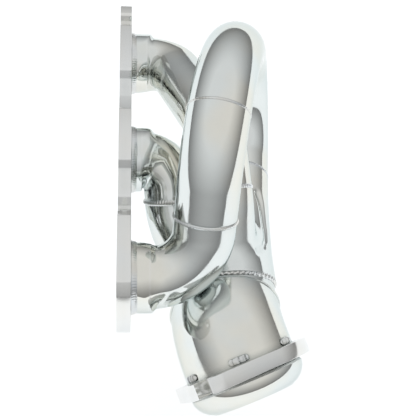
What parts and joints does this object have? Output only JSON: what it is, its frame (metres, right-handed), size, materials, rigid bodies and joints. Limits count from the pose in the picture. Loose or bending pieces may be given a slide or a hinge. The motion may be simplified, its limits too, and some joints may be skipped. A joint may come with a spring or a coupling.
{
  "type": "exhaust manifold",
  "caption": "Tubular exhaust header: flat head flange, three bent primary tubes merging into a collector with a ball end and a loose two-bolt flange.",
  "frame": {"origin": "centre of the middle exhaust port, on the gasket face of the head flange", "axes": "+X runs along the head flange towards the collector end, +Y points away from the cylinder head, +Z is the side the long tube arches over"},
  "size_m": [0.3766, 0.1418, 0.2309],
  "materials": {
    "tube": "polished steel tube",
    "plate": "cut plate, polished",
    "weld": "weld bead, polished over"
  },
  "bodies": {
    "header": {"head_flange": "plate", "port_stub_1": "tube", "port_stub_2": "tube", "port_stub_3": "tube", "port_weld_1": "weld", "port_weld_2": "weld", "port_weld_3": "weld", "tube_1_bend": "tube", "tube_2_bend": "tube", "tube_3_lower_bend": "tube", "tube_3_riser": "tube", "tube_3_return_bend": "tube", "tube_3_weld_lower": "weld", "tube_3_weld_upper": "weld", "merge_collector": "tube", "merge_weld_1": "weld", "merge_weld_2": "weld", "merge_weld_3": "weld", "collector_weld": "weld", "collector_neck": "tube", "collector_outlet": "tube", "ball_end": "tube", "flange_stop_1": "weld", "flange_stop_2": "weld", "flange_stop_3": "weld", "flange_stop_4": "weld", "flange_stop_5": "weld", "flange_stop_6": "weld"},
    "loose_flange": {"collector_flange": "plate"}
  },
  "joints": [
    {"name": "collector_flange_swivel", "type": "hinge", "parent": "header", "child": "loose_flange", "pos_m": [0.1502, 0.0903, -0.0522], "axis": [0.8587, 0.3601, -0.3647], "continuous": true}
  ]
}
